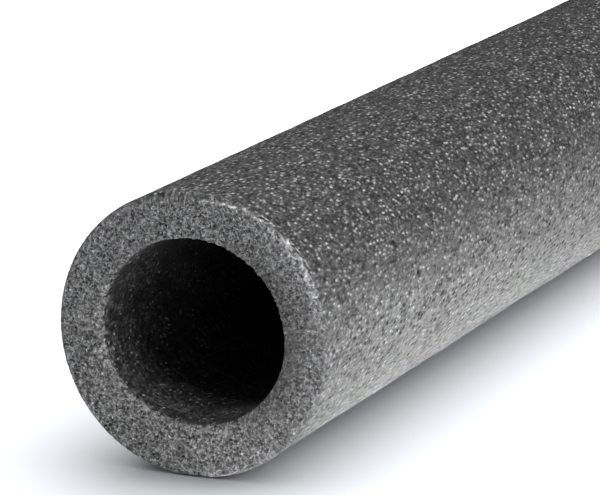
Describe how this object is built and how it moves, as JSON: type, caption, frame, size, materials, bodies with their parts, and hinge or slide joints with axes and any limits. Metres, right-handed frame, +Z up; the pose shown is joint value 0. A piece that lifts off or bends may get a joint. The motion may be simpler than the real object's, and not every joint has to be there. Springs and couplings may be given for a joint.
{
  "type": "pipe insulation lagging",
  "caption": "Straight tube of dark grey closed-cell foam, cut square at both ends, that lags a heating or water pipe passed through its round bore.",
  "frame": {"origin": "on the floor under the middle of the tube: the middle of its box in X and Y, and its lowest line in Z", "axes": "+X along the tube and its bore, +Z up, with the tube lying on its side"},
  "size_m": [1, 0.054, 0.054],
  "materials": {
    "foam": "closed-cell foam, satin extruded skin and open cut ends"
  },
  "bodies": {
    "root": {"foam_tube": "foam"}
  },
  "joints": []
}
